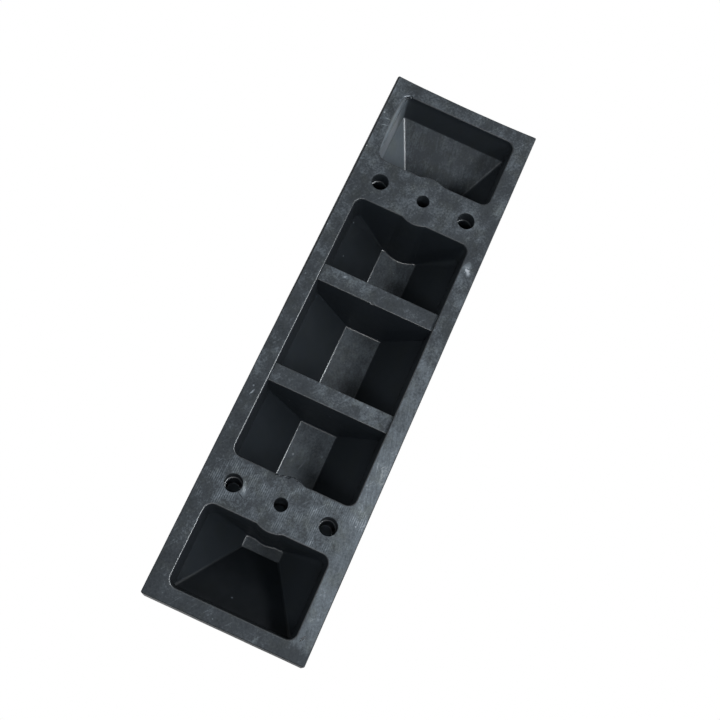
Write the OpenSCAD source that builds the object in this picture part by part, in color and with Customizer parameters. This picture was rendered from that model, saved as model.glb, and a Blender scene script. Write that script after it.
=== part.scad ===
// Rubber wheel stop for a parking bay, moulded in one piece.
// Millimetres. The base lies on z = 0, the length runs along x, and the origin is the middle of the base.
// The outer form is a block with an upright skirt and four sloping faces that rise to a flat top.
// The underside is hollow: an end pocket, a solid band, three chambers, a solid band, an end pocket.

/* [Outer form] */
// Length of the base
length = 550; // [450:5:700]
// Width of the base
width = 150; // [130:1:200]
// Height from the base to the flat top
height = 100; // [85:1:140]
// Height of the upright skirt under the slopes, inside and outside
skirt_h = 36; // [20:1:50]
// Length of the flat top
top_length = 400; // [340:5:440]
// Width of the flat top
top_width = 60; // [50:1:80]
// Radius of the edges round the flat top
top_edge_r = 6; // [2:0.5:12]
// Radius of the shoulder between the skirt and the slopes
shoulder_r = 10; // [4:1:20]
// Radius of the four upright corners of the skirt
skirt_corner_r = 1.5; // [0.5:0.5:8]

/* [Walls of the hollow side] */
// Thickness of the skirt where it meets the ground
rim_wall = 17; // [10:0.5:22]
// How far the side walls thicken from the ground up to the knee of a pocket
side_draft = 2.5; // [0:0.5:4]
// How far the end walls thicken from the ground up to the knee of a pocket
end_draft = 1.5; // [0:0.5:4]
// Thickness of rubber between a pocket and the flat top
roof = 12; // [8:1:25]
// Width of each solid band that the bolts go through
band_w = 47; // [40:1:70]
// Radius of the upright corners of the pockets
pocket_corner_r = 8; // [3:0.5:12]
// Radius between a pocket's roof and its walls
pocket_roof_r = 3; // [1:0.5:6]
// Radius at the knee, where a pocket's upright wall turns into its slope
pocket_knee_r = 2; // [1:0.5:12]

/* [Cross ribs] */
// Distance from the middle of the stop to the middle of each rib
rib_offset = 53.5; // [45:0.5:70]
// Thickness of a rib
rib_w = 18; // [8:1:26]
// How far the foot of a rib stays above the ground
rib_lift = 4; // [0.5:0.5:10]

/* [Bolt holes] */
// Distance between the two rows of holes
row_pitch = 320; // [290:5:360]
// Distance between the outer holes of a row
side_pitch = 90; // [80:1:100]
// Bore of the outer holes
side_bore_d = 13; // [9:0.5:15]
// Wider mouth of the outer holes at the ground
side_mouth_d = 16; // [15.5:0.5:22]
// Depth of that mouth
side_mouth_depth = 14; // [4:1:25]
// Bore of the middle holes
middle_bore_d = 12; // [9:0.5:16]
// Height of the seats that the bolt heads bear on
seat_h = 38; // [30:1:50]
// Recess for the bolt head over an outer hole
side_recess_d = 24; // [20:1:30]
// Recess for the bolt head over a middle hole
middle_recess_d = 30; // [22:1:34]
// Thickness at the ground of the round boss about the recess of a middle hole
boss_wall = 11.5; // [10:0.5:14]
// How far the boss thickens from the ground up to the roof of the pockets
boss_draft = 1.5; // [0:0.1:3]

/* [Hidden] */
$fn = 96;
rubber_black = [0.17, 0.18, 0.19];
// Small overlap with which each cutter runs past the face that it opens
past = 1;

half_length = length / 2;
half_width = width / 2;
side_run = (width - top_width) / 2;
end_run = (length - top_length) / 2;
slope_h = height - skirt_h;
// Height of a pocket's roof over the ground, and how far its slopes run in up to there
pocket_h = height - roof;
roof_rise = (pocket_h - skirt_h) / slope_h;
row_x = row_pitch / 2;
// Half length of the middle opening, and the inner end of an end pocket
opening_x = row_x - band_w / 2;
end_pocket_x = row_x + band_w / 2;
// Radius of a boss at the ground, and how much it grows for each millimetre of height
boss_r = middle_recess_d / 2 + boss_wall;
boss_taper = boss_draft / pocket_h;

function unit(v) = v / norm(v);
function before(p, i) = p[(i + len(p) - 1) % len(p)];
function after(p, i) = p[(i + 1) % len(p)];
// Half of the angle that the polygon p encloses at its corner i
function half_angle(p, i) =
    acos(unit(before(p, i) - p[i]) * unit(after(p, i) - p[i])) / 2;
function arc_start(p, i, r) = p[i] + unit(before(p, i) - p[i]) * r / tan(half_angle(p, i));
function arc_end(p, i, r) = p[i] + unit(after(p, i) - p[i]) * r / tan(half_angle(p, i));
function arc_centre(p, i, r) =
    p[i] + unit(unit(before(p, i) - p[i]) + unit(after(p, i) - p[i])) * r / sin(half_angle(p, i));

// Convex outline through the points p, where corner i is rounded to the radius r[i], or sharp at 0
module soft_outline(p, r) {
    polygon([
        for (i = [0 : len(p) - 1])
            each r[i] > 0 ? [arc_start(p, i, r[i]), arc_end(p, i, r[i])] : [p[i]]
    ]);
    for (i = [0 : len(p) - 1])
        if (r[i] > 0)
            translate(arc_centre(p, i, r[i])) circle(r[i]);
}

// Rounded rectangle seen from above, from x0 to x1 and as wide as w
module soft_plan(x0, x1, w, r) {
    soft_outline([[x0, -w / 2], [x1, -w / 2], [x1, w / 2], [x0, w / 2]], [r, r, r, r]);
}

// A cross section, drawn in y and z, drawn out along x
module along_x(l) {
    rotate([90, 0, 90]) linear_extrude(l, center = true) children();
}

// A long section, drawn in x and z, drawn out across the stop
module along_y(w) {
    rotate([90, 0, 0]) linear_extrude(w, center = true) children();
}

// Block profile that is half_w wide at the ground and runs in by run over its slope
module block_profile(half_w, run) {
    soft_outline(
        [[-half_w, 0], [half_w, 0], [half_w, skirt_h],
         [half_w - run, height], [run - half_w, height], [-half_w, skirt_h]],
        [0, 0, shoulder_r, top_edge_r, top_edge_r, shoulder_r]);
}

module outer_form() {
    intersection() {
        along_x(length) block_profile(half_width, side_run);
        along_y(width) block_profile(half_length, end_run);
        linear_extrude(height) soft_plan(-half_length, half_length, width, skirt_corner_r);
    }
}

// Cross section of the hollow: upright walls up to the knee, then slopes beside the outer ones
module hollow_cross() {
    mouth = half_width - rim_wall;
    knee = mouth - side_draft;
    top = knee - side_run * roof_rise;
    foot = mouth + side_draft * past / skirt_h;
    soft_outline(
        [[-foot, -past], [foot, -past], [knee, skirt_h],
         [top, pocket_h], [-top, pocket_h], [-knee, skirt_h]],
        [0, 0, pocket_knee_r, pocket_roof_r, pocket_roof_r, pocket_knee_r]);
}

// Long section of a chamber between upright walls
module chamber_section(x0, x1) {
    soft_outline(
        [[x0, -past], [x1, -past], [x1, pocket_h], [x0, pocket_h]],
        [0, 0, pocket_roof_r, pocket_roof_r]);
}

// Long section of an end pocket, whose roof slopes down beside the sloping end of the stop
module end_section() {
    mouth = half_length - rim_wall;
    knee = mouth - end_draft;
    top = knee - end_run * roof_rise;
    foot = mouth + end_draft * past / skirt_h;
    soft_outline(
        [[end_pocket_x, -past], [foot, -past], [knee, skirt_h],
         [top, pocket_h], [end_pocket_x, pocket_h]],
        [0, 0, pocket_knee_r, pocket_roof_r, pocket_roof_r]);
}

// The middle opening seen from below, with its round corners
module opening_plan() {
    soft_plan(-opening_x, opening_x, width - 2 * rim_wall, pocket_corner_r);
}

module middle_hollow() {
    rib_in = rib_offset - rib_w / 2;
    rib_out = rib_offset + rib_w / 2;
    intersection() {
        along_x(length) hollow_cross();
        translate([0, 0, -past]) linear_extrude(height) opening_plan();
        union() {
            along_y(width) chamber_section(-opening_x, -rib_out);
            along_y(width) chamber_section(-rib_in, rib_in);
            along_y(width) chamber_section(rib_out, opening_x);
            translate([-opening_x, -half_width, -past]) cube([2 * opening_x, width, past + rib_lift]);
        }
    }
}

module end_hollow() {
    intersection() {
        along_x(length) hollow_cross();
        along_y(width) end_section();
        translate([0, 0, -past]) linear_extrude(height)
            soft_plan(end_pocket_x, half_length - rim_wall, width - 2 * rim_wall, pocket_corner_r);
    }
}

// Both sides of the bands bulge round the bolt recesses in the middle of the width
module bosses() {
    for (side = [-1, 1])
        translate([side * row_x, 0, -2 * past])
            cylinder(r1 = boss_r - 2 * past * boss_taper, r2 = boss_r + height * boss_taper,
                     h = height + 2 * past);
}

// A bolt hole along z: bore up to the seat, and the recess for the bolt head over it
module bolt_hole(bore_d, recess_d) {
    translate([0, 0, -past]) cylinder(d = bore_d, h = seat_h + 2 * past);
    translate([0, 0, seat_h]) cylinder(d = recess_d, h = height - seat_h + past);
}

module bolt_holes() {
    for (side = [-1, 1]) {
        translate([side * row_x, 0, 0]) bolt_hole(middle_bore_d, middle_recess_d);
        for (edge = [-1, 1])
            translate([side * row_x, edge * side_pitch / 2, 0]) {
                bolt_hole(side_bore_d, side_recess_d);
                translate([0, 0, -past]) cylinder(d = side_mouth_d, h = side_mouth_depth + past);
            }
    }
}

module wheel_stop() {
    color(rubber_black)
    difference() {
        outer_form();
        difference() {
            union() {
                middle_hollow();
                end_hollow();
                mirror([1, 0, 0]) end_hollow();
            }
            bosses();
        }
        bolt_holes();
    }
}

wheel_stop();
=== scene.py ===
"""The looks of a moulded rubber wheel stop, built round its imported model.

The stop rests on its base, and the camera looks up at its hollow underside from below the ground.
So the floor is pale from above and clear from beneath.
"""

import bisect
import math

import bmesh
import bpy
from mathutils import Matrix, Vector, noise


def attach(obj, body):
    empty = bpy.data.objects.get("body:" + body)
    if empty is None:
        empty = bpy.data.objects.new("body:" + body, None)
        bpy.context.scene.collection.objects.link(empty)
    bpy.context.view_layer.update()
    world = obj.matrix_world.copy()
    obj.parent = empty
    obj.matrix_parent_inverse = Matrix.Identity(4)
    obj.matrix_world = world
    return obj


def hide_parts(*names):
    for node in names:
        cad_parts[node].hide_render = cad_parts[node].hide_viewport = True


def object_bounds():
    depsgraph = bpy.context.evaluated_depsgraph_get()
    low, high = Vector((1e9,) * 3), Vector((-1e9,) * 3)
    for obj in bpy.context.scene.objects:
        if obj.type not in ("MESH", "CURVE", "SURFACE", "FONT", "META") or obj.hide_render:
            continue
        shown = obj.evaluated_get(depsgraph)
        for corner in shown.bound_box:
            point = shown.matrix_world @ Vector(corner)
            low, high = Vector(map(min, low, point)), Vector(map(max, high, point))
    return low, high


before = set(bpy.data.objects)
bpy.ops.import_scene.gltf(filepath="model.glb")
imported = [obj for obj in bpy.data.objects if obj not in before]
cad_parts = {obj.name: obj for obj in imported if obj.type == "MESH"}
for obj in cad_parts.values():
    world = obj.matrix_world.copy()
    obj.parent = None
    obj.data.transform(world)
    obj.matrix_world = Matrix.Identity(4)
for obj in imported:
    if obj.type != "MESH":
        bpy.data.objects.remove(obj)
cad_low, cad_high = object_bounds()

MM = 0.001

# Outer form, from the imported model's box and the stop's own sizes
HALF_LENGTH = cad_high.x
HALF_WIDTH = cad_high.y
HEIGHT = cad_high.z
SKIRT = 36 * MM
TOP_HALF_LENGTH = 200 * MM
TOP_HALF_WIDTH = 30 * MM
TOP_EDGE_R = 6 * MM
SHOULDER_R = 10 * MM
SKIRT_CORNER_R = 1.5 * MM
HIP_R = 3 * MM
BASE_EDGE_R = 1.2 * MM

# Hollow side
RIM_WALL = 17 * MM
SIDE_DRAFT = 2.5 * MM
END_DRAFT = 1.5 * MM
ROOF = 12 * MM
POCKET_TOP = HEIGHT - ROOF
ROOF_R = 2 * MM
KNEE_R = 2 * MM
RIM_R = 1.5 * MM
POCKET_CORNER_R = 8 * MM
FOLD_R = 1.8 * MM
POCKET_HIP_R = 1.8 * MM

# Bands, ribs, bosses and bolt holes
ROW_X = 160 * MM
BAND = 47 * MM
SIDE_Y = 45 * MM
RIB_X = 53.5 * MM
RIB_WIDTH = 18 * MM
RIB_LIFT = 4 * MM
RIB_EDGE_R = 1 * MM
BOSS_R = 26.5 * MM
BOSS_TOP_R = 28 * MM
SEAT = 38 * MM
SIDE_MOUTH_R = 8 * MM
SIDE_MOUTH_DEPTH = 14 * MM
SIDE_BORE_R = 6.5 * MM
SIDE_RECESS_R = 12 * MM
MIDDLE_BORE_R = 6 * MM
MIDDLE_RECESS_R = 15 * MM
HOLE_EDGE_R = 0.6 * MM
LEDGE_R = 1.45 * MM
RECESS_EDGE_R = 1 * MM

# In the near pocket the boss narrows towards the roof, and the end wall has more draft
NEAR_BOSS_TOP_R = 25.2 * MM
NEAR_END_DRAFT = 3.5 * MM

# How finely round stretches are divided, and how far a cutter runs past the face that it opens
ARC_STEPS = 8
BORE_STEPS = 64
BACKING_STEPS = 32
RECESS_EDGE_STEPS = 4
PAST = 1 * MM

# Spacing of the net of edges over the flat faces
NET = 6 * MM
# Bends: from which an edge looks sharp, up to which a corner faces as its neighbours do (as a cosine),
# and from which an edge can be a recess's rim
SHARP_BEND = math.radians(30)
SOFT_BEND = math.cos(math.radians(18))
RIM_BEND = math.radians(15)

# How near points have to lie to be merged, to be cut by the net, or to count as on a recess's rim
MERGED = 0.005 * MM
ON_NET = 0.02 * MM
ON_RIM = 0.05 * MM

# Wear. The far end has shrunk inwards, and no face is quite flat.
END_BOW = 1.7 * MM
UNEVEN = 0.3 * MM
UNEVEN_SPAN = 35 * MM
# The left rim of the far pocket is worn round: (x, width, depth) of the wear along it, in mm
WORN_RIM = [(190, 0.3, 0.3), (196, 3.2, 2.2), (212, 5.8, 3.6),
            (232, 7.4, 4.2), (246, 6.2, 3.6), (257, 2.0, 1.6)]
# The outer left edge is worn flat, in the same terms
WORN_EDGE = [(-110, 0.1, 0.2), (-40, 0.8, 1.0), (10, 1.6, 1.8),
             (60, 2.3, 2.6), (180, 2.5, 2.8), (276, 2.2, 2.6)]
# How uneven a chip is, and how many lumps it has for its size
CHIP_SWELL = 0.35
CHIP_LUMPS = 1.7
# Chips: (x, y, height) of each, how far it reaches each way, both in mm, and its turn in degrees
CHIPS = [
    # The far pocket's left corner
    ((254.9, -57.3, 0), (3.4, 1.6, 2.4), 53),
    ((258.3, -53.3, 0), (1.3, 1.3, 1.6), 0),
    # The foot of the far rib, and the right rim at the near end
    ((44.3, -2.5, 4), (1.6, 2.6, 1.4), 0),
    ((-254, 63.8, 0), (3.2, 0.8, 1.0), 25),
    # The near boss, towards the chamber and towards the near pocket
    ((-137.0, -15.5, 0), (1.5, 2.0, 2.0), 10),
    ((-136.0, -10.8, 0), (1.8, 2.4, 2.2), -20),
    ((-134.2, -5.2, 0), (2.6, 3.0, 3.0), 15),
    ((-133.8, 4.2, 0), (1.9, 2.2, 2.0), -10),
    ((-184.8, 8, 0), (1.2, 1.5, 1.0), 0),
]

# Light scuffs and dark cuts: (x, y, height) in mm, reach each way in mm, turn in degrees, strength
MARKS = [
    # The right rim
    ((117.5, 64, 0), (6.5, 4.2, 2), 20, 0.65),
    ((112, 66.5, 0), (4.5, 3, 2), -30, 0.75),
    # The far pocket's torn left corner
    ((257.2, -58.3, 0), (4.0, 0.9, 1), 53, 0.8),
    ((260.9, -52.8, 0), (2.6, 1.4, 1), 20, 0.3),
    # Beside the left bolt hole of the near band
    ((-160.0, -34.9, 0), (6.5, 2.2, 2), -22, 0.45),
    ((-164.5, -34.0, 0), (6, 4.5, 2), 0, 0.2),
    ((-167.5, -34.5, 0), (4, 0.5, 2), -60, -0.9),
    # The foot of the far rib
    ((58, -36, 4), (3, 1.6, 2), 60, 0.5),
    # The left rim
    ((-79.6, -65.5, 0), (3.4, 0.9, 2), 20, 0.9),
    ((-74, -66.9, 0), (1, 0.8, 2), 0, 0.8),
    ((225.6, -65.9, 0), (0.7, 4, 2), -3, 0.5),
    ((218.1, -65.3, 0), (0.7, 4.5, 2), -15, 0.4),
    ((230.8, -71.2, 0), (1.4, 1.2, 2), 0, 0.5),
    ((189.6, -72.3, 0), (0.8, 0.8, 2), 0, 1.0),
    # The roof of the near chamber
    ((-103.7, -0.5, 88), (6, 0.7, 2), 15, 0.3),
    ((-102.3, -11.1, 88), (3, 1.5, 2), 15, 0.2),
    ((-96.4, -12.3, 88), (1.3, 1.1, 2), 0, 0.45),
    ((-87.2, 14.1, 88), (1.6, 1.1, 2), 20, 0.35),
    # The left wall of the far chamber
    ((69, -56, 20), (6, 2, 12), 0, 0.25),
]
SPECK_SPACING = 15 * MM
# Bits of dirt in the pockets: their radius, and (x, y, height) of each, in mm
BIT_R = 1.2
BITS = [(127.5, -53.7, 38.7), (93.8, -48.8, 45.4), (26.6, -56.9, 15.4), (-62.5, -34.8, 40.8),
        (-62.5, 5.4, 32.6), (-244.4, -5.4, 46.2)]

# Dust on the level ground side, on the outer faces and on the far pocket's worn side
GROUND_DUST = 0.46
OUTSIDE_DUST = 0.07
WORN_DUST = 1.2

# Zones of the skin in mm: where the end pockets begin, how deep the outer faces' skin reaches, how
# high the rims reach, and how far the middle holes' zone reaches to each side
BAND_END = 183
OUTER_SKIN = 6
RIM_ZONE = 6
MIDDLE_ZONE = 20
# How far down a face looks, from 0 to 1, where it begins to count as level and where it does in full
LEVEL = (0.93, 0.985)
# Where the combed ridges on the near band fade in and out along the stop, in metres, and their scale
RIDGES_FROM = (-0.188, -0.178)
RIDGES_TO = (-0.142, -0.132)
RIDGE_WAVE = 175

# Colours of the rubber: first a colour darker than bare, for painted shade and random dips of the tone,
# then from bare to dusty: (share of the way, red, green and blue from 0 to 255). The way starts at the
# tone -TONE_SHIFT and is TONE_SPAN long.
RUBBER_TONES = [(0, (14, 18, 22)), (0.067, (25, 30, 35)), (0.4, (46, 51, 56)),
                (0.733, (88, 96, 103)), (1, (150, 157, 165))]
TONE_SHIFT = 0.1
TONE_SPAN = 1.5
WARM_TINT = (1.0, 0.985, 0.91, 1)
WHITE = (1, 1, 1, 1)
# What the mesh tells the material at each corner of its faces
SKIN = ("dust_and_painted_light", "grit", "shine", "streaks")

# The floor: half its size and its height, in metres, and where it starts to shine by itself
FLOOR_REACH = 40
FLOOR_HEIGHT = -0.4 * MM
GLOW_FROM = 0.45
GLOW_FULL = 1.3
# How far round the stop the floor lets lamps and other light through
OPENING_EDGE = 0.05 * MM
LIGHT_EDGE = 12 * MM
WORLD_LIGHT = 0.35


def soft_line(points, radii):
    """Points (reach, height) along a line of straight stretches whose inner corners are rounded."""
    points = [Vector(p) for p in points]
    path = [points[0]]
    for before, corner, after, radius in zip(points, points[1:], points[2:], radii):
        to_before = (before - corner).normalized()
        to_after = (after - corner).normalized()
        half = to_before.angle(to_after) / 2
        centre = corner + (to_before + to_after).normalized() * radius / math.sin(half)
        start = corner + to_before * radius / math.tan(half) - centre
        end = corner + to_after * radius / math.tan(half) - centre
        swing = math.atan2(start.cross(end), start.dot(end)) / ARC_STEPS
        path += [centre + Matrix.Rotation(swing * i, 2) @ start for i in range(ARC_STEPS + 1)]
    path.append(points[-1])
    return path


def reach_at(path, height):
    """Reach of a line at a height. Below its first point it stays as it is there."""
    heights = [p.y for p in path]
    i = min(max(bisect.bisect_right(heights, height), 1), len(path) - 1)
    low, high = path[i - 1], path[i]
    if high.y - low.y < 1e-9:
        return low.x
    share = min(max((height - low.y) / (high.y - low.y), 0), 1)
    return low.x + (high.x - low.x) * share


def rounding(radius):
    """(height, offset) steps of a quarter round between a face at height 0 and an upright wall."""
    angles = [math.pi / 2 * i / ARC_STEPS for i in range(ARC_STEPS + 1)]
    return [(radius * (1 - math.cos(a)), radius * (1 - math.sin(a))) for a in angles]


def arc(centre_x, centre_y, radius, start, end, steps=ARC_STEPS):
    """Points (x, y) along an arc, between two angles in degrees."""
    angles = [math.radians(start + (end - start) * i / steps) for i in range(steps + 1)]
    return [(centre_x + radius * math.cos(a), centre_y + radius * math.sin(a)) for a in angles]


def ring(z, low_x, high_x, half_y, low_r, high_r, low_boss=None, high_boss=None):
    """Rounded rectangle at the height z. A boss is (x of its middle, radius) and bulges into that end."""
    points = arc(high_x - high_r, high_r - half_y, high_r, -90, 0)
    if high_boss:
        middle, radius = high_boss
        swing = math.degrees(math.acos((middle - high_x) / radius))
        points += arc(middle, 0, radius, 180 + swing, 180 - swing, 2 * ARC_STEPS)
    points += arc(high_x - high_r, half_y - high_r, high_r, 0, 90)
    points += arc(low_x + low_r, half_y - low_r, low_r, 90, 180)
    if low_boss:
        middle, radius = low_boss
        swing = math.degrees(math.acos((low_x - middle) / radius))
        points += arc(middle, 0, radius, swing, -swing, 2 * ARC_STEPS)
    points += arc(low_x + low_r, low_r - half_y, low_r, 180, 270)
    return [(x, y, z) for x, y in points]


def as_piece(name, form):
    """A new object made of the bmesh form, which is used up."""
    mesh = bpy.data.meshes.new(name)
    form.to_mesh(mesh)
    form.free()
    piece = bpy.data.objects.new(name, mesh)
    bpy.context.scene.collection.objects.link(piece)
    return piece


def loft(name, rings):
    """A closed piece whose skin runs through the rings, from the lowest to the highest."""
    form = bmesh.new()
    rows = [[form.verts.new(p) for p in points] for points in rings]
    count = len(rows[0])
    for low, high in zip(rows, rows[1:]):
        for i in range(count):
            j = (i + 1) % count
            form.faces.new((low[i], low[j], high[j], high[i]))
    form.faces.new(list(reversed(rows[0])))
    form.faces.new(rows[-1])
    bmesh.ops.recalc_face_normals(form, faces=form.faces)
    return as_piece(name, form)


def turned(name, profile, x, y):
    """A closed piece turned about an upright axis through (x, y), from (radius, height) points."""
    return loft(name, [[(px, py, height) for px, py in arc(x, y, radius, 0, 360, BORE_STEPS)[:-1]]
                       for radius, height in profile])


def outer_lines():
    """The outer form's side and end as lines of (reach, height)."""
    side = soft_line([(HALF_WIDTH, 0), (HALF_WIDTH, SKIRT), (TOP_HALF_WIDTH, HEIGHT), (0, HEIGHT)],
                     [SHOULDER_R, TOP_EDGE_R])[:-1]
    end = soft_line([(HALF_LENGTH, 0), (HALF_LENGTH, SKIRT), (TOP_HALF_LENGTH, HEIGHT), (0, HEIGHT)],
                    [SHOULDER_R, TOP_EDGE_R])[:-1]
    return side, end


def outer_form():
    """The outer form: an upright skirt, four slopes and a flat top, all with rounded edges."""
    side, end = outer_lines()
    edge = rounding(BASE_EDGE_R)
    heights = sorted({p.y for p in side + end[1:]} | {z for z, inset in edge})
    insets = [Vector((inset, z)) for z, inset in edge]
    corner = [Vector((SKIRT_CORNER_R, SKIRT)), Vector((HIP_R, SKIRT + SHOULDER_R))]
    rings = []
    for z in heights:
        inset = reach_at(insets, z)
        reach_x = reach_at(end, z) - inset
        corner_r = reach_at(corner, z) - min(inset, SKIRT_CORNER_R / 2)
        rings.append(ring(z, -reach_x, reach_x, reach_at(side, z) - inset, corner_r, corner_r))
    return loft("outer_form", rings)


def hollow(name, low, high, low_corner, high_corner, low_boss=None, high_boss=None, boss_top_r=BOSS_TOP_R):
    """Cutter for a pocket between the walls low and high, which are lines of (x, height)."""
    mouth = HALF_WIDTH - RIM_WALL
    knee = mouth - SIDE_DRAFT
    top = knee - (HALF_WIDTH - TOP_HALF_WIDTH) * (POCKET_TOP - SKIRT) / (HEIGHT - SKIRT)
    side = soft_line([(mouth, 0), (knee, SKIRT), (top, POCKET_TOP), (0, POCKET_TOP)], [KNEE_R, ROOF_R])[:-1]
    rim = [Vector((offset, z)) for z, offset in rounding(RIM_R)]
    heights = sorted({-PAST} | {p.y for p in side + low + high + rim})
    rings = []
    for z in heights:
        out = reach_at(rim, z)
        bosses = []
        for middle, wall in ((low_boss, low), (high_boss, high)):
            fillet = abs(reach_at(wall, z) - wall[0].x)
            radius = BOSS_R + (boss_top_r - BOSS_R) * max(z, 0) / POCKET_TOP + fillet - out
            bosses.append(None if middle is None else (middle, radius))
        rings.append(ring(z, reach_at(low, z) - out, reach_at(high, z) + out, reach_at(side, z) + out,
                          reach_at(low_corner, z) + out, reach_at(high_corner, z) + out, *bosses))
    return loft(name, rings)


def upright_wall(x, inward):
    """Line of an upright wall at x that turns into the roof of a pocket. inward is 1 or -1."""
    return soft_line([(x, 0), (x, POCKET_TOP), (x + inward * HEIGHT, POCKET_TOP)], [ROOF_R])[:-1]


def pockets():
    """Cutters for the middle opening and for the two end pockets."""
    opening = ROW_X - BAND / 2
    inner = ROW_X + BAND / 2
    mouth = HALF_LENGTH - RIM_WALL
    knee = mouth - END_DRAFT
    top = knee - (HALF_LENGTH - TOP_HALF_LENGTH) * (POCKET_TOP - SKIRT) / (HEIGHT - SKIRT)
    band_corner = [Vector((POCKET_CORNER_R, 0)), Vector((POCKET_CORNER_R, SKIRT)),
                   Vector((FOLD_R, POCKET_TOP))]
    end_corner = [Vector((POCKET_CORNER_R, 0)), Vector((POCKET_CORNER_R, SKIRT / 2)),
                  Vector((POCKET_HIP_R, SKIRT + KNEE_R)), Vector((POCKET_HIP_R, POCKET_TOP))]
    slope, near_slope = (soft_line([(foot, 0), (knee, SKIRT), (top, POCKET_TOP), (0, POCKET_TOP)],
                                   [KNEE_R, ROOF_R])[:-1] for foot in (mouth, knee + NEAR_END_DRAFT))
    back_slope = [Vector((-p.x, p.y)) for p in near_slope]
    return [
        hollow("middle_opening", upright_wall(-opening, 1), upright_wall(opening, -1),
               band_corner, band_corner, -ROW_X, ROW_X),
        hollow("far_pocket", upright_wall(inner, 1), slope, band_corner, end_corner, low_boss=ROW_X),
        hollow("near_pocket", back_slope, upright_wall(-inner, -1), end_corner, band_corner,
               high_boss=-ROW_X, boss_top_r=NEAR_BOSS_TOP_R),
    ]


def rib(name, x):
    """A cross rib: rounded at its foot, and filleted where it grows out of the roof."""
    half = RIB_WIDTH / 2
    face = soft_line([(0, RIB_LIFT), (half, RIB_LIFT), (half, POCKET_TOP), (half + HEIGHT, POCKET_TOP)],
                     [RIB_EDGE_R, ROOF_R])[1:-1]
    face.append(Vector((face[-1].x, POCKET_TOP + ROOF / 2)))
    outline = face + [Vector((-p.x, p.y)) for p in reversed(face)]
    end_y = HALF_WIDTH - RIM_WALL / 2
    return loft(name, [[(x + p.x, y, p.y) for p in outline] for y in (end_y, -end_y)])


def hole_cutter(name, mouth_r, mouth_depth, bore_r, recess_r):
    """Cutter for a bolt hole: a rounded mouth, a ledge, the bore, the seat and the recess over it."""
    mouth = [(mouth_r + offset, z) for z, offset in rounding(HOLE_EDGE_R)]
    profile = [(mouth_r + HOLE_EDGE_R, -PAST)] + mouth
    if mouth_r > bore_r:
        ledge = [(bore_r + offset, mouth_depth + z) for z, offset in rounding(LEDGE_R)]
        profile += [(mouth_r, mouth_depth)] + ledge
    profile += [(bore_r, SEAT), (recess_r, SEAT), (recess_r, HEIGHT + PAST)]
    return turned(name, profile, 0, 0)


def bolt_holes():
    """One cutter for all the bolt holes: two rows with a middle hole and two side holes each."""
    middle = hole_cutter("middle_hole", MIDDLE_BORE_R, 0, MIDDLE_BORE_R, MIDDLE_RECESS_R)
    side = hole_cutter("side_hole", SIDE_MOUTH_R, SIDE_MOUTH_DEPTH, SIDE_BORE_R, SIDE_RECESS_R)
    tree = Nodes(bpy.data.node_groups.new("rows_of_holes", "GeometryNodeTree"))
    sizes = {"Middle hole": ("Object", middle), "Side hole": ("Object", side),
             "Half row pitch": ("Float", ROW_X), "Half side pitch": ("Float", SIDE_Y)}
    for name, (kind, value) in sizes.items():
        tree.tree.interface.new_socket(name, in_out="INPUT", socket_type="NodeSocket" + kind)
    tree.tree.interface.new_socket("Geometry", in_out="OUTPUT", socket_type="NodeSocketGeometry")
    given = tree.node("NodeGroupInput")
    given = {name: Wire(tree, given.outputs[name]) for name in sizes}
    half_row = given["Half row pitch"]
    near_end = tree.wire("CombineXYZ", None, {"X": 0 - half_row})
    far_end = tree.wire("CombineXYZ", None, {"X": half_row})
    middles = tree.wire("GeometryNodeMeshLine", {"mode": "END_POINTS"},
                        {"Count": 2, "Start Location": near_end, "Offset": far_end})
    sides = tree.wire("GeometryNodeMeshGrid", None,
                      {"Size X": half_row * 2, "Size Y": given["Half side pitch"] * 2,
                       "Vertices X": 2, "Vertices Y": 2})
    cutters = []
    for points, name in ((middles, "Middle hole"), (sides, "Side hole")):
        hole = tree.wire("GeometryNodeObjectInfo", None, {"Object": given[name]}, "Geometry")
        cutters.append(tree.wire("GeometryNodeInstanceOnPoints", None,
                                 {"Points": points, "Instance": hole}))
    joined = tree.node("GeometryNodeJoinGeometry")
    for cutter in cutters:
        tree.tree.links.new(cutter.socket, joined.inputs[0])
    real = tree.wire("GeometryNodeRealizeInstances", None, {"Geometry": Wire(tree, joined.outputs[0])})
    black = bpy.data.materials.new("bare_rubber")
    real = tree.wire("GeometryNodeSetMaterial", None, {"Geometry": real, "Material": black})
    tree.node("NodeGroupOutput", None, {"Geometry": real})
    piece = as_piece("bolt_holes", bmesh.new())
    grow = piece.modifiers.new("rows_of_holes", "NODES")
    grow.node_group = tree.tree
    for socket in tree.tree.interface.items_tree:
        if socket.in_out == "INPUT":
            grow[socket.identifier] = sizes[socket.name][1]
    mesh = bpy.data.meshes.new_from_object(piece.evaluated_get(bpy.context.evaluated_depsgraph_get()))
    piece.modifiers.clear()
    piece.data = mesh
    for hole in (middle, side):
        bpy.data.meshes.remove(hole.data)
    return piece


def worn_edge(name, wall, inward, places, round_off):
    """Cutter that wears down an edge along the stop, where the base meets an upright face at y = wall.

    inward is the side on which the face is open, 1 or -1. places are (x, width, depth) of the wear, in mm.
    The wear is round, or flat if not round_off.
    """
    angles = [math.pi / 2 * i / ARC_STEPS for i in range(ARC_STEPS + 1)] if round_off else [0, math.pi / 2]
    rings = []
    for place in places:
        x, width, depth = (n * MM for n in place)
        edge = wall - inward * width
        curve = [(edge + inward * width * math.sin(a), depth * (1 - math.cos(a))) for a in angles]
        outline = [(edge, -PAST)] + curve + [(wall + inward * PAST, depth), (wall + inward * PAST, -PAST)]
        rings.append([(x, y, z) for y, z in outline])
    return loft(name, rings)


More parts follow.
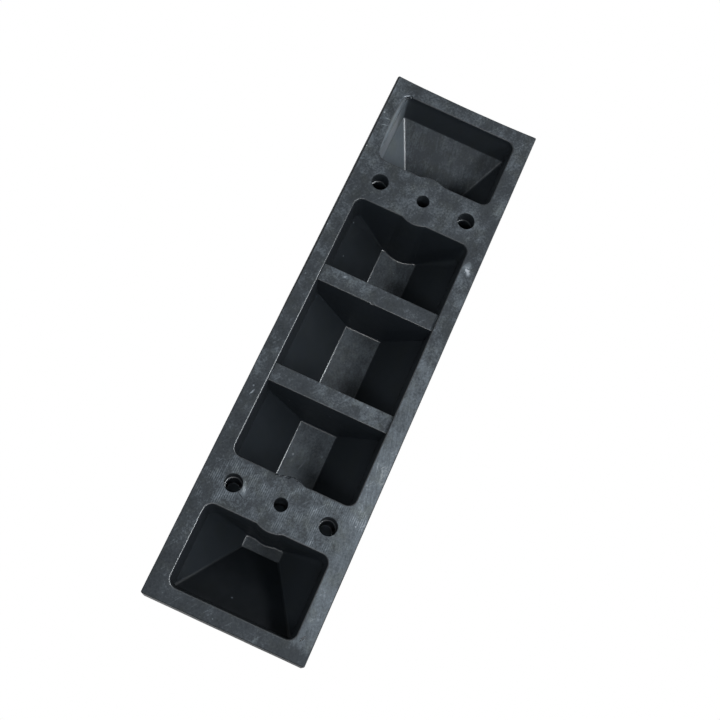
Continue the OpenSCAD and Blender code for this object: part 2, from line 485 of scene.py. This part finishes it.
def chips():
    """One cutter for all the small chips: lumps with an uneven skin."""
    form = bmesh.new()
    for (x, y, z), reach, turn in CHIPS:
        lump = bmesh.ops.create_icosphere(form, subdivisions=3, radius=1)["verts"]
        spin = Matrix.Rotation(math.radians(turn), 3, "Z")
        middle = Vector((x, y, z))
        for vert in lump:
            swell = 1 + CHIP_SWELL * noise.noise(vert.co * CHIP_LUMPS + middle)
            swollen = Vector([r * c * swell for r, c in zip(reach, vert.co)])
            vert.co = (spin @ swollen + middle) * MM
    return as_piece("chips", form)


def combined(body, cutters):
    """The mesh of body with each cutter taken away. The cutters are used up."""
    for piece in cutters:
        cut = body.modifiers.new(piece.name, "BOOLEAN")
        cut.operation = "DIFFERENCE"
        cut.solver = "EXACT"
        cut.use_self = piece.name == "chips"
        cut.object = piece
    seen = body.evaluated_get(bpy.context.evaluated_depsgraph_get())
    mesh = bpy.data.meshes.new_from_object(seen)
    body.modifiers.clear()
    for piece in cutters:
        bpy.data.meshes.remove(piece.data)
    return mesh


def soften_recess_rims(form):
    """Rounds the edge where each bolt recess opens through the top or a slope."""
    rims = []
    for edge in form.edges:
        if min(v.co.z for v in edge.verts) < SKIRT + SHOULDER_R or not edge.is_manifold:
            continue
        if edge.calc_face_angle() < RIM_BEND:
            continue
        for y, radius in ((0, MIDDLE_RECESS_R), (SIDE_Y, SIDE_RECESS_R)):
            spokes = [math.hypot(abs(v.co.x) - ROW_X, abs(v.co.y) - y) for v in edge.verts]
            if all(abs(spoke - radius) < ON_RIM for spoke in spokes):
                rims.append(edge)
    bmesh.ops.bevel(form, geom=rims, offset=RECESS_EDGE_R, offset_type="OFFSET",
                    segments=RECESS_EDGE_STEPS, profile=0.5, affect="EDGES", clamp_overlap=False)


def lay_net(form, spacing):
    """Cuts the faces along upright and level planes, so that flat faces can bend a little."""
    reach = (HALF_LENGTH, HALF_WIDTH, HEIGHT)
    for axis in range(3):
        normal = Vector((0, 0, 0))
        normal[axis] = 1
        for i in range(-int(reach[axis] / spacing), int(reach[axis] / spacing) + 1):
            place = Vector((0, 0, 0))
            place[axis] = (i + 0.5) * spacing
            bmesh.ops.bisect_plane(form, geom=form.verts[:] + form.edges[:] + form.faces[:],
                                   plane_co=place, plane_no=normal, dist=ON_NET)


def ease(value, low, high):
    """0 at low, 1 at high, and a smooth step between them."""
    share = min(max((value - low) / (high - low), 0), 1)
    return share * share * (3 - 2 * share)


def age(form):
    """Bows the far end inwards and makes every face a little uneven, always into the rubber."""
    form.normal_update()
    for vert in form.verts:
        place = vert.co.copy()
        swell = 0.5 + 0.5 * noise.noise(place / UNEVEN_SPAN)
        vert.co -= vert.normal * UNEVEN * swell
        vert.co.z = max(vert.co.z, 0)
        near_skin = ease(place.x, HALF_LENGTH - RIM_WALL, HALF_LENGTH)
        vert.co.x -= END_BOW * near_skin * (1 - (place.y / HALF_WIDTH) ** 2)


class Spot:
    """A spot of the skin: its place in mm, how it faces, and how much rubber covers it."""

    def __init__(self, place, facing, side, end):
        """side and end are the lines of the outer form."""
        self.x, self.y, self.z = place / MM
        self.facing = facing
        self.down = -facing.z
        self.level = ease(self.down, *LEVEL)
        to_side = reach_at(side, place.z) - abs(place.y)
        to_end = reach_at(end, place.z) - abs(place.x)
        self.cover = min(to_side, to_end) / MM
        holes = (-SIDE_Y / MM, 0, SIDE_Y / MM)
        nearest = min(holes, key=lambda hole: abs(self.y - hole))
        self.along = self.x - math.copysign(ROW_X / MM, self.x)
        self.across = self.y - nearest
        self.from_axis = math.hypot(self.along, self.across)


def on_right_rim(spot):
    """How far a spot lies on the right rim, from 0 to 1. It fades away towards the far end."""
    return ease(spot.y, 48, 62) * ease(-spot.x, -140, 110)


def tone_at_ground(spot):
    """Tone of what lies level at the ground: dusty, and lighter along the right rim."""
    x, y = spot.x, spot.y
    # Lighter along the right rim, fading out towards the far end and at the near end.
    right_rim = 0.42 * on_right_rim(spot) * ease(x, -266, -258)
    near_band = (0.16 + 0.001 * y) * ease(-x, 134, 142) * ease(x, -186, -180)
    far_end = 0.07 * ease(x, 130, 200)
    near_end = -0.07 * ease(-x, 180, 260)
    left_end = (0.05 * ease(x, 170, 200) - 0.09 * ease(-x, 50, 90)) * ease(-y, 52, 60)
    left_edge = 0.2 * ease(x, 0, 60) * ease(-y, 70, 72)
    rib_feet = 0.08 * ease(-x, 30, 45) * ease(x, -76, -66) * ease(56 - abs(y), 0, 3)
    round_hole = 0.1 * ease(16 - spot.from_axis, 0, 6) * ease(x, 0, 1)
    dust_and_painted_light = GROUND_DUST + far_end + near_end + left_end + left_edge
    return dust_and_painted_light + rib_feet + round_hole + max(right_rim, near_band)


def worn_side(spot):
    """How far a spot lies on the far pocket's worn left side, from 0 to 1, and how dusty it is there."""
    facing = spot.facing
    sideways = facing.y / max(math.hypot(facing.x, facing.y), 0.01)
    worn = ease(spot.x, 183, 187) * ease(facing.y, 0.1, 0.5) * ease(-spot.y, 10, 20)
    worn *= ease(spot.cover, 8, 11)
    worn *= ease(sideways, 0.35, 0.95)
    dust_and_painted_light = WORN_DUST - 0.08 * (1 - ease(spot.x, 205, 215)) - 0.25 * ease(spot.x, 236, 248)
    return worn, dust_and_painted_light


def right_side_dust(spot):
    """Dust on the pockets' right sides."""
    return 0.18 * ease(-spot.facing.y, 0.3, 0.7)


def shine_in_pocket(spot):
    """Shine of a pocket's folds, and of the rounding between its walls and its roof."""
    down, facing = spot.down, spot.facing
    folded = 0.3 * ease(down, 0.12, 0.2) * ease(-down, -0.5, -0.4)
    shine = max(folded, ease(down, 0.77, 0.8) * ease(-down, -0.99, -0.975))
    shine *= 0.1 + 0.9 * ease(facing.y, -0.3, -0.1)
    return shine * (1 - 0.75 * ease(-spot.x, 56, 62) * ease(-facing.x, 0.1, 0.4))


def skin_outside(spot):
    """Skin of the outer faces, which shine along the shoulder and round the flat top."""
    up = spot.facing.z
    shoulder = ease(up, 0.08, 0.2) * ease(-up, -0.54, -0.45)
    top_edge = ease(up, 0.8, 0.86) * ease(-up, -0.99, -0.97)
    return OUTSIDE_DUST + 0.06 * ease(up, 0.3, 0.8), 0.55, 0.6 * max(shoulder, top_edge), 0.3


def skin_of_bore(spot):
    """Skin of a bolt hole: its ledge shines on the side towards negative y, and its bore has painted shade
    and light.
    """
    ledge = ease(spot.down, 0.6, 0.8) * ease(-spot.down, -0.995, -0.98)
    polish = 1 if spot.y < -MIDDLE_ZONE else 0.35
    polish *= 1 - 0.85 * ease(0.4 * spot.along + 0.9 * spot.across, -2, 3)
    mouth = 0.3 if spot.x < 0 and spot.y > MIDDLE_ZONE else 0.1
    # Painted light: the near middle bore is lighter towards its deep end, for light that falls on its wall.
    lit_end = 0.8 * ease(spot.z, 12, 26) if spot.x < 0 and abs(spot.y) < MIDDLE_ZONE else 0
    ledge_z = SIDE_MOUTH_DEPTH / MM
    # Painted shade: below the ledge the bore is darker than bare rubber.
    dust_and_painted_light = mouth - (mouth + 0.05) * ease(spot.z, ledge_z - 0.2, ledge_z + 0.2) + lit_end
    return dust_and_painted_light, 0.3, ledge * polish, 0


def skin_at_ground(spot):
    """Skin at the ground: dusty where level, shiny on rims where not torn, painted shade on the outer left
    edge.
    """
    x, y, down = spot.x, spot.y, spot.down
    worn, worn_dust = worn_side(spot)
    rounded = (1 - spot.level) * ease(down, 0.12, 0.3) * ease(spot.cover, 3, 5)
    kept = 0.85 - 0.35 * ease(x, 50, 60) - 0.2 * ease(x, 85, 110)
    rounded *= kept * ease(spot.from_axis, 9, 10)
    torn_corner = ease(x, 250, 254) * ease(-y, 47, 51)
    torn_boss = ease(-x, 131, 133) * ease(x, -140, -138) * ease(22 - abs(y + 4), 0, 3)
    rounded *= 1 - 0.9 * max(torn_corner, torn_boss)
    light = worn_dust - 0.2 * ease(down, 0.2, 0.6)
    # The outer left edge is painted darker than bare rubber: painted shade, for the side that faces away
    # from the lamps.
    painted_shade_left_edge = -0.08 * ease(0.9 - down, 0, 0.1) * ease(-y, 70, 72)
    dust_and_painted_light = max(spot.level * tone_at_ground(spot), light * worn) + painted_shade_left_edge
    return dust_and_painted_light, spot.level, rounded * (1 - worn), on_right_rim(spot)


def skin_of_far_pocket(spot):
    """Skin of the far pocket: a dusty ramp, a dusty roof strip, and a worn left side."""
    toward_near = -spot.facing.x
    worn, worn_dust = worn_side(spot)
    worn_dust += (0.86 - worn_dust) * ease(spot.z, 31, 37)
    ramp = ease(toward_near, 0.3, 0.5) * ease(spot.down, 0.5, 0.7)
    lying = 0.41 + 0.2 * ease(spot.x, 195, 250) - 0.07 * ease(spot.y, -30, 30)
    end_wall = ease(toward_near, 0.85, 0.95) * (0.06 + 0.2 * ease(-spot.y, 44, 56))
    dust_and_painted_light = max(0.16 + end_wall, worn_dust * worn, lying * ramp, 0.66 * spot.level)
    return dust_and_painted_light, max(0.7 * ramp, 0.7 * spot.level, 0.15 * worn), shine_in_pocket(spot), ramp


def skin_of_near_pocket(spot):
    """Skin of the near pocket: almost bare, shining only near its roof, with painted shade on its ramp."""
    ramp = ease(spot.facing.x, 0.3, 0.5)
    left_side = 0.03 * ease(spot.facing.y, 0.3, 0.7)
    # Painted shade: the ramp is darker than bare rubber.
    dust_and_painted_light = max(left_side, 0.38 * spot.level, right_side_dust(spot)) - 0.1 * ramp
    return dust_and_painted_light, 0.7 * spot.level, shine_in_pocket(spot) * (0.3 + 0.7 * ease(spot.z, 78, 84)), 0


def skin_of_chamber(spot):
    """Skin of the three chambers: bare walls, and a dusty strip of roof with painted light towards the near
    end.
    """
    x, level = spot.x, spot.level
    left_side = ease(spot.facing.y, 0.3, 0.7) * (0.05 * ease(x, -120, 20) - 0.09 * ease(x, 44, 62))
    # The roof strip is dusty, and lighter towards the near end as painted light, where the near band casts
    # its shadow.
    strip = 0.6 + 0.3 * ease(-x, 70, 130)
    dust_and_painted_light = max(strip * level, right_side_dust(spot)) + left_side
    return dust_and_painted_light, 0.55 * level, shine_in_pocket(spot), 0.4 * level


def skin_at(spot):
    """Dust, grit, shine and streaks of the skin at a spot, each from 0 to about 1.

    Dust sets the tone, with painted shade and painted light in a few places, grit is how uneven it lies,
    shine is how polished the rubber is, and streaks is how far the dusty tone is drawn into streaks.
    """
    in_hole = spot.from_axis < (SIDE_MOUTH_R + HOLE_EDGE_R) / MM
    if min(spot.cover, HEIGHT / MM - spot.z) < OUTER_SKIN and spot.z > 2:
        return skin_outside(spot)
    if in_hole and 0.3 < spot.z < SEAT / MM + 1:
        return skin_of_bore(spot)
    if spot.z < RIM_ZONE:
        return skin_at_ground(spot)
    if spot.x > BAND_END:
        return skin_of_far_pocket(spot)
    if spot.x < -BAND_END:
        return skin_of_near_pocket(spot)
    return skin_of_chamber(spot)


def skins(form):
    """The skin at each corner of each face of the bmesh form."""
    side, end = outer_lines()
    form.normal_update()
    found = []
    for face in form.faces:
        for vert in face.verts:
            soft = vert.normal.dot(face.normal) > SOFT_BEND
            facing = vert.normal if soft else face.normal
            found.append(skin_at(Spot(vert.co, facing, side, end)))
    return found


def make_stop():
    """The stop as one mesh, which keeps what its skin is like in attributes for the material."""
    body = outer_form()
    mouth = HALF_WIDTH - RIM_WALL
    cutters = pockets()
    cutters[0].data = combined(cutters[0], [rib("far_rib", RIB_X), rib("near_rib", -RIB_X)])
    cutters += [bolt_holes(), worn_edge("worn_rim", -mouth, 1, WORN_RIM, True),
                worn_edge("worn_edge", -HALF_WIDTH, -1, WORN_EDGE, False), chips()]
    body.data = combined(body, cutters)
    body.name = body.data.name = "moulded_stop"
    form = bmesh.new()
    form.from_mesh(body.data)
    bmesh.ops.remove_doubles(form, verts=form.verts, dist=MERGED)
    soften_recess_rims(form)
    lay_net(form, NET)
    bmesh.ops.triangulate(form, faces=[f for f in form.faces if len(f.verts) > 4])
    bmesh.ops.recalc_face_normals(form, faces=form.faces)
    skin = skins(form)
    for edge in form.edges:
        edge.smooth = edge.calc_face_angle(0) < SHARP_BEND
    age(form)
    form.to_mesh(body.data)
    form.free()
    for name, values in zip(SKIN, zip(*skin)):
        body.data.attributes.new(name, "FLOAT", "CORNER").data.foreach_set("value", values)
    body.data.shade_smooth()
    even = body.modifiers.new("even_normals", "WEIGHTED_NORMAL")
    even.keep_sharp = True
    return body


class Wire:
    """A socket of a node tree. Python's operators on it add Math nodes."""

    def __init__(self, nodes, socket):
        self.nodes = nodes
        self.socket = socket

    def math(self, operation, first, second):
        return self.nodes.wire("Math", {"operation": operation}, {0: first, 1: second})

    def __add__(self, other):
        return self.math("ADD", self, other)

    def __sub__(self, other):
        return self.math("SUBTRACT", self, other)

    def __rsub__(self, other):
        return self.math("SUBTRACT", other, self)

    def __mul__(self, other):
        return self.math("MULTIPLY", self, other)

    __radd__ = __add__
    __rmul__ = __mul__


class Nodes:
    """A node tree for geometry, for a material or for the world."""

    def __init__(self, tree):
        self.tree = tree
        tree.nodes.clear()

    def node(self, kind, settings=None, inputs=None):
        """Adds a node. Its settings are set first, and its inputs are values or wires."""
        full = kind if kind.startswith(("Geometry", "NodeGroup")) else "ShaderNode" + kind
        made = self.tree.nodes.new(full)
        for name, value in (settings or {}).items():
            if name == "stops":
                ramp = made.color_ramp.elements
                ramp[1].position = 1
                for i, (position, colour) in enumerate(value):
                    while len(ramp) <= i:
                        ramp.new(1)
                    ramp[i].position = position
                    ramp[i].color = (*colour, 1)
            else:
                setattr(made, name, value)
        for key, value in (inputs or {}).items():
            if isinstance(value, Wire):
                self.tree.links.new(value.socket, made.inputs[key])
            else:
                made.inputs[key].default_value = value
        return made

    def wire(self, kind, settings=None, inputs=None, output=0):
        return Wire(self, self.node(kind, settings, inputs).outputs[output])


def linear(*levels):
    """A colour as the picture shows it, from 0 to 255, as the renderer's own numbers."""
    shares = [level / 255 for level in levels]
    return tuple(s / 12.92 if s <= 0.04045 else ((s + 0.055) / 1.055) ** 2.4 for s in shares)


def step_up(nodes, value, low, high):
    """0 where value is under low, 1 where it is over high."""
    return nodes.wire("MapRange", {"interpolation_type": "SMOOTHSTEP"}, {0: value, 1: low, 2: high})


def grains(nodes, place, span, detail, roughness=0.6, bend=0.0):
    """Noise around 0, with features about as large as span, in metres."""
    return nodes.wire("TexNoise", None, {"Vector": place, "Scale": 1 / span, "Detail": detail,
                                         "Roughness": roughness, "Distortion": bend}) - 0.5


def turned_place(nodes, place, middle, turn, reach):
    """Coordinates in which an ellipse about middle, turned in the base plane, is the unit circle."""
    return nodes.wire("Mapping", {"vector_type": "TEXTURE"},
                      {"Vector": place, "Location": middle, "Rotation": (0, 0, math.radians(turn)),
                       "Scale": reach})


def mark(nodes, place, middle, reach, turn, torn):
    """A mark with an edge that torn breaks up. Its middle and reach are in mm, its turn in degrees."""
    near = turned_place(nodes, place, [n * MM for n in middle], turn, [n * MM for n in reach])
    away = nodes.wire("VectorMath", {"operation": "LENGTH"}, {0: near}, "Value")
    return 1 - step_up(nodes, away + torn, 0.3, 1.2)


def new_material(name):
    """A new material and its node tree."""
    material = bpy.data.materials.new(name)
    material.use_nodes = True
    return material, Nodes(material.node_tree)


def ridges(paint, place, patchy):
    """Fine combed ridges on the near band, where patchy lets them show."""
    combed = paint.wire("TexWave", {"bands_direction": "Y"},
                        {"Vector": place, "Scale": RIDGE_WAVE, "Distortion": 3.0, "Detail": 1.0,
                         "Detail Scale": 0.06}, "Fac") - 0.5
    at = paint.node("SeparateXYZ", None, {0: place})
    along_stop = Wire(paint, at.outputs["X"])
    on_band = step_up(paint, along_stop, *RIDGES_FROM) * (1 - step_up(paint, along_stop, *RIDGES_TO))
    return combed * (on_band * patchy)


def specks(paint, place, grain):
    """Small light specks in the middle of about half the cells of a random net."""
    cells = paint.node("TexVoronoi", None, {"Vector": place, "Scale": 1 / SPECK_SPACING})
    picked = paint.wire("SeparateColor", None, {0: Wire(paint, cells.outputs["Color"])})
    near = Wire(paint, cells.outputs["Distance"]) + grain * 0.1
    return (1 - step_up(paint, near, 0.015, 0.05)) * step_up(paint, picked, 0.5, 0.55)


def rubber_colour(paint, place, tone):
    """The colour of the rubber at a tone, a little warmer in patches."""
    stops = [(share, linear(*levels)) for share, levels in RUBBER_TONES]
    colour = paint.wire("ValToRGB", {"stops": stops}, {0: (tone + TONE_SHIFT) * (1 / TONE_SPAN)})
    hue = step_up(paint, grains(paint, place, 16 * MM, 3, 0.7), -0.05, 0.2)
    return paint.wire("Mix", {"data_type": "RGBA", "blend_type": "MULTIPLY"},
                      {"Factor": hue, 6: colour, 7: WARM_TINT}, 2)


def rubber():
    """Black rubber: dusty where it met the ground, bare and glossier on edges and inner walls, with painted
    shade and light.
    """
    material, paint = new_material("dusty_rubber")
    place = paint.wire("TexCoord", None, None, "Object")
    dust_and_painted_light, grit, shine, streaks = (paint.wire("Attribute", {"attribute_name": name}, None, "Fac")
                                  for name in SKIN)
    cloud = grains(paint, place, 45 * MM, 3)
    mottle = grains(paint, place, 11 * MM, 5, 0.6)
    grain = grains(paint, place, 2.2 * MM, 3, 0.75)
    along = turned_place(paint, place, (0, 0, 0), -14, (9, 1, 4))
    strokes = grains(paint, along, 2.2 * MM, 3, 0.6, 0.6)
    across = turned_place(paint, place, (0, 0, 0), 38, (14, 1, 2))
    scratches = step_up(paint, grains(paint, across, 1.5 * MM, 1, 0.5, 0.4), 0.15, 0.25)
    patchy = step_up(paint, mottle + cloud, -0.04, 0.14)
    sprinkle = step_up(paint, grains(paint, place, 1.7 * MM, 1, 0.4), 0.14, 0.24)
    unsettled = (cloud * 1.0 + mottle * 0.95 + grain * 1.2 + strokes * streaks * 0.9
                 + ridges(paint, place, patchy) * 0.35 + scratches * 0.2 + sprinkle * 0.12)
    tone = dust_and_painted_light + grit * unsettled * (1 - streaks * 0.35) + mottle * 0.05
    torn = mottle * 1.4 + grain * 2.6
    for middle, reach, turn, strength in MARKS:
        tone = tone + mark(paint, place, middle, reach, turn, torn) * strength
    for middle in BITS:
        tone = tone + mark(paint, place, middle, (BIT_R, BIT_R, BIT_R), 0, 0)
    tone = tone + specks(paint, place, grain) * grit * 0.7
    rough = grit * 0.3 + mottle * 0.25 + 0.5
    bump = paint.wire("Bump", None, {"Strength": 0.35, "Distance": 0.15 * MM,
                                     "Height": (grain + mottle) * (1 - shine)})
    shader = paint.wire("BsdfPrincipled", None,
                        {"Base Color": rubber_colour(paint, place, tone), "Roughness": rough,
                         "Normal": bump, "Specular IOR Level": 0.15,
                         "Coat Weight": shine, "Coat Roughness": 0.37})
    paint.node("OutputMaterial", None, {"Surface": shader})
    return material


def floor_material():
    """Pale to the camera and to light from above. The camera sees through it from beneath.

    Lamps shine through it under the stop only, and the other light also passes close round the stop, so
    that the floor doesn't light the stop's worn edges. Farther out it shines by itself, to stay pale.
    """
    material, paint = new_material("pale_floor")
    camera = paint.wire("LightPath", None, None, "Is Camera Ray")
    beneath = paint.wire("NewGeometry", None, None, "Backfacing")
    place = paint.wire("TexCoord", None, None, "Object")
    at = paint.node("SeparateXYZ", None, {0: place})
    shadow = paint.wire("LightPath", None, None, "Is Shadow Ray")
    margin = LIGHT_EDGE - shadow * (LIGHT_EDGE - OPENING_EDGE)
    opening = 1
    for axis, half in (("X", HALF_LENGTH), ("Y", HALF_WIDTH)):
        out = Wire(paint, at.outputs[axis])
        out = out.math("ABSOLUTE", out, 0) - margin
        opening = out.math("LESS_THAN", out, half) * opening
    away = paint.wire("VectorMath", {"operation": "LENGTH"}, {0: place}, "Value")
    matt = paint.wire("BsdfDiffuse", None, {"Color": (*linear(236, 236, 236), 1)})
    pale = paint.wire("Emission", None, {"Color": WHITE})
    far = step_up(paint, away, GLOW_FROM, GLOW_FULL)
    seen = paint.wire("MixShader", None, {0: far * camera, 1: matt, 2: pale})
    clear = paint.wire("BsdfTransparent")
    shown = camera * (1 - beneath) + (1 - camera) * (1 - opening)
    paint.node("OutputMaterial", None,
               {"Surface": paint.wire("MixShader", None, {0: shown, 1: clear, 2: seen})})
    return material


def make_floor():
    """The studio floor, just under the base of the stop."""
    mesh = bpy.data.meshes.new("floor")
    corners = [(-1, -1), (1, -1), (1, 1), (-1, 1)]
    mesh.from_pydata([(x * FLOOR_REACH, y * FLOOR_REACH, FLOOR_HEIGHT) for x, y in corners],
                     [], [(0, 1, 2, 3)])
    mesh.materials.append(floor_material())
    floor = bpy.data.objects.new("floor", mesh)
    bpy.context.scene.collection.objects.link(floor)


def make_backing():
    """Dark discs that close the bores just under their seats.

    They stand for the ground behind the bores, where the stop lies on its top.
    """
    form = bmesh.new()
    for end_x in (ROW_X, -ROW_X):
        for y, radius in ((0, MIDDLE_BORE_R), (SIDE_Y, SIDE_BORE_R), (-SIDE_Y, SIDE_BORE_R)):
            place = Matrix.Translation((end_x, y, SEAT - 0.5 * MM))
            bmesh.ops.create_circle(form, cap_ends=True, segments=BACKING_STEPS,
                                    radius=radius + 0.1 * MM, matrix=place)
    backing = as_piece("backing", form)
    material, paint = new_material("dark_backing")
    camera = paint.wire("LightPath", None, None, "Is Camera Ray")
    beneath = paint.wire("NewGeometry", None, None, "Backfacing")
    dark = paint.wire("BsdfDiffuse", None, {"Color": (*linear(110, 120, 130), 1)})
    clear = paint.wire("BsdfTransparent")
    shown = 1 - camera * (1 - beneath)
    paint.node("OutputMaterial", None,
               {"Surface": paint.wire("MixShader", None, {0: shown, 1: clear, 2: dark})})
    backing.data.materials.append(material)


def make_world():
    """White to the camera and in reflections, and a softer grey as light on the stop."""
    world = bpy.data.worlds.new("studio")
    bpy.context.scene.world = world
    world.use_nodes = True
    sky = Nodes(world.node_tree)
    rays = sky.node("LightPath")
    camera, glossy, through = (Wire(sky, rays.outputs[name])
                               for name in ("Is Camera Ray", "Is Glossy Ray", "Is Transmission Ray"))
    seen = sky.wire("Math", {"operation": "MAXIMUM"}, {0: camera + glossy, 1: through})
    soft = sky.wire("Background", None, {"Strength": WORLD_LIGHT})
    white = sky.wire("Background", None, {"Strength": 1})
    for background in (soft, white):
        background.socket.node.inputs["Color"].default_value = WHITE
    sky.node("OutputWorld", None, {"Surface": sky.wire("MixShader", None, {0: seen, 1: soft, 2: white})})


def lamp(name, place, aim, size, power, colour=(1, 1, 1), only_gloss=False):
    """A rectangular lamp: size is its length along the stop and its height. One may show in gloss only."""
    light = bpy.data.lights.new(name, "AREA")
    light.shape = "RECTANGLE"
    light.size, light.size_y = size
    light.energy = power
    light.color = colour
    holder = bpy.data.objects.new(name, light)
    holder.location = place
    holder.rotation_euler = (Vector(aim) - Vector(place)).to_track_quat("-Z", "Y").to_euler()
    holder.visible_camera = False
    holder.visible_diffuse = not only_gloss
    bpy.context.scene.collection.objects.link(holder)


def make_camera(place, aim, up, lens):
    """A camera at place that looks at aim, with up as the picture's upright direction."""
    camera = bpy.data.objects.new("camera", bpy.data.cameras.new("camera"))
    back = (Vector(place) - Vector(aim)).normalized()
    right = Vector(up).cross(back).normalized()
    turn = Matrix((right, back.cross(right), back)).transposed()
    camera.matrix_world = Matrix.Translation(place) @ turn.to_4x4()
    camera.data.sensor_width = 36
    camera.data.lens = lens
    camera.data.clip_start = 0.01
    camera.data.clip_end = 50
    bpy.context.scene.collection.objects.link(camera)
    bpy.context.scene.camera = camera


# The camera stands below the ground and looks up at the hollow side, with the far end at the top
make_camera(place=(-0.3133, 0.0228, -0.9217), aim=(-0.0110, 0.0092, 0),
            up=(0.9149, -0.4036, 0), lens=53.66)
stop = make_stop()
stop.data.materials.clear()
stop.data.materials.append(rubber())
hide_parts("wheel_stop")
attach(stop, "root")
make_floor()
make_backing()
make_world()
lamp("low_key", (0.15, 0.64, -0.87), (0.05, 0, 0), (1.1, 0.22), 8)
lamp("low_line", (0.08, 0.62, -0.85), (0.0, 0, 0), (0.92, 0.1), 26, colour=(0.88, 0.95, 1), only_gloss=True)
lamp("low_top", (-0.75, 0.2, -1.35), (0, 0, 0), (0.4, 0.3), 12)
lamp("high_key", (-0.6, -1.1, 1.4), (0, 0, 0), (1.2, 1.0), 30)
lamp("high_fill", (0.9, 1.2, 1.0), (0, 0, 0), (1.2, 1.0), 14)
bpy.context.scene.view_settings.view_transform = "Standard"
